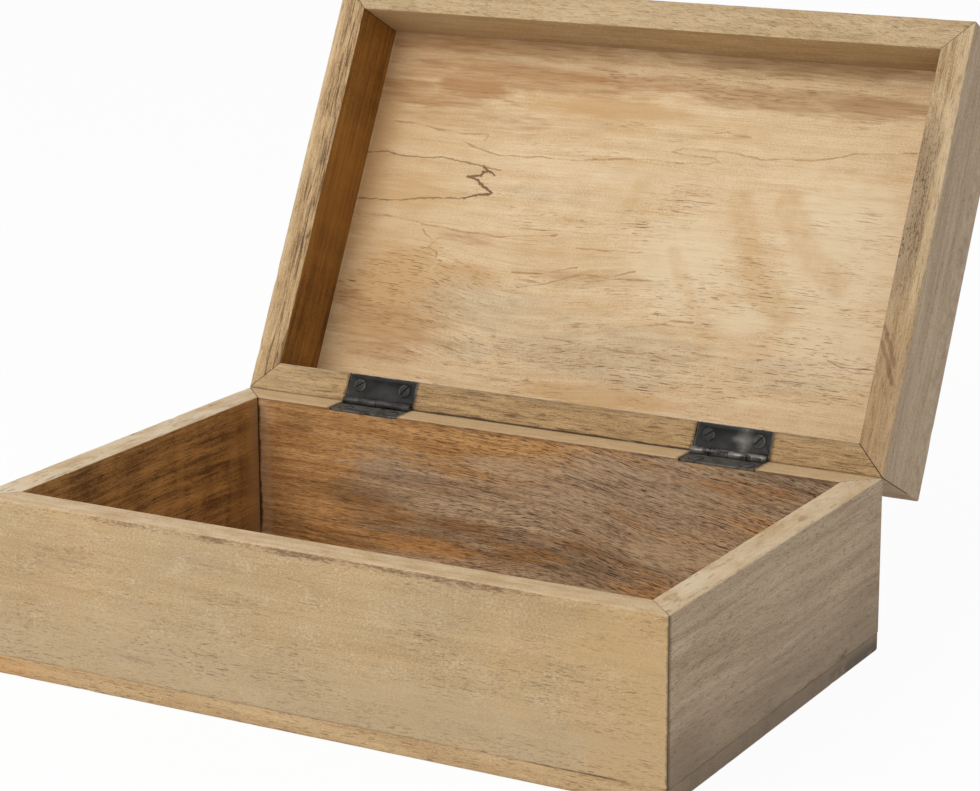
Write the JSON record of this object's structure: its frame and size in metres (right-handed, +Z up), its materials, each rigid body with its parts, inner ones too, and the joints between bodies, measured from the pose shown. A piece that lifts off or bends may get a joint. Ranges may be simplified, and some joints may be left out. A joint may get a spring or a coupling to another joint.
{
  "type": "hinged wooden keepsake box",
  "caption": "Rectangular wooden keepsake box with mitred corners and a deep lid that swings open on black butt hinges let into the rim.",
  "frame": {"origin": "middle of the underside, on the surface that the box stands on", "axes": "+X to the right seen from the front, +Y to the hinged back, +Z up; the lid is stored open on its stop"},
  "size_m": [0.3, 0.3163, 0.242],
  "materials": {
    "box_wood": "bare sanded light hardwood with fine dark pores",
    "base_wood": "bare sanded light hardwood, worn along its lower edges",
    "lid_wood": "bare sanded light hardwood with thin dark figure lines",
    "hinge_iron": "blackened iron, satin, scuffed on the knuckles",
    "screw_iron": "blackened iron, satin"
  },
  "bodies": {
    "box": {"front_wall": "box_wood", "back_wall": "box_wood", "left_wall": "box_wood", "right_wall": "box_wood", "bottom_board": "base_wood", "left_hinge_box_leaf": "hinge_iron", "right_hinge_box_leaf": "hinge_iron", "left_hinge_pin": "hinge_iron", "right_hinge_pin": "hinge_iron", "left_hinge_box_screws": "screw_iron", "right_hinge_box_screws": "screw_iron"},
    "lid": {"lid_front_rail": "lid_wood", "lid_back_rail": "lid_wood", "lid_left_rail": "lid_wood", "lid_right_rail": "lid_wood", "lid_top_board": "lid_wood", "left_hinge_lid_leaf": "hinge_iron", "right_hinge_lid_leaf": "hinge_iron", "left_hinge_lid_screws": "screw_iron", "right_hinge_lid_screws": "screw_iron"}
  },
  "joints": [
    {"name": "lid_hinge", "type": "hinge", "parent": "box", "child": "lid", "pos_m": [0, 0.09492, 0.0726], "axis": [1, 0, 0], "range_deg": [0, 117.1]}
  ]
}
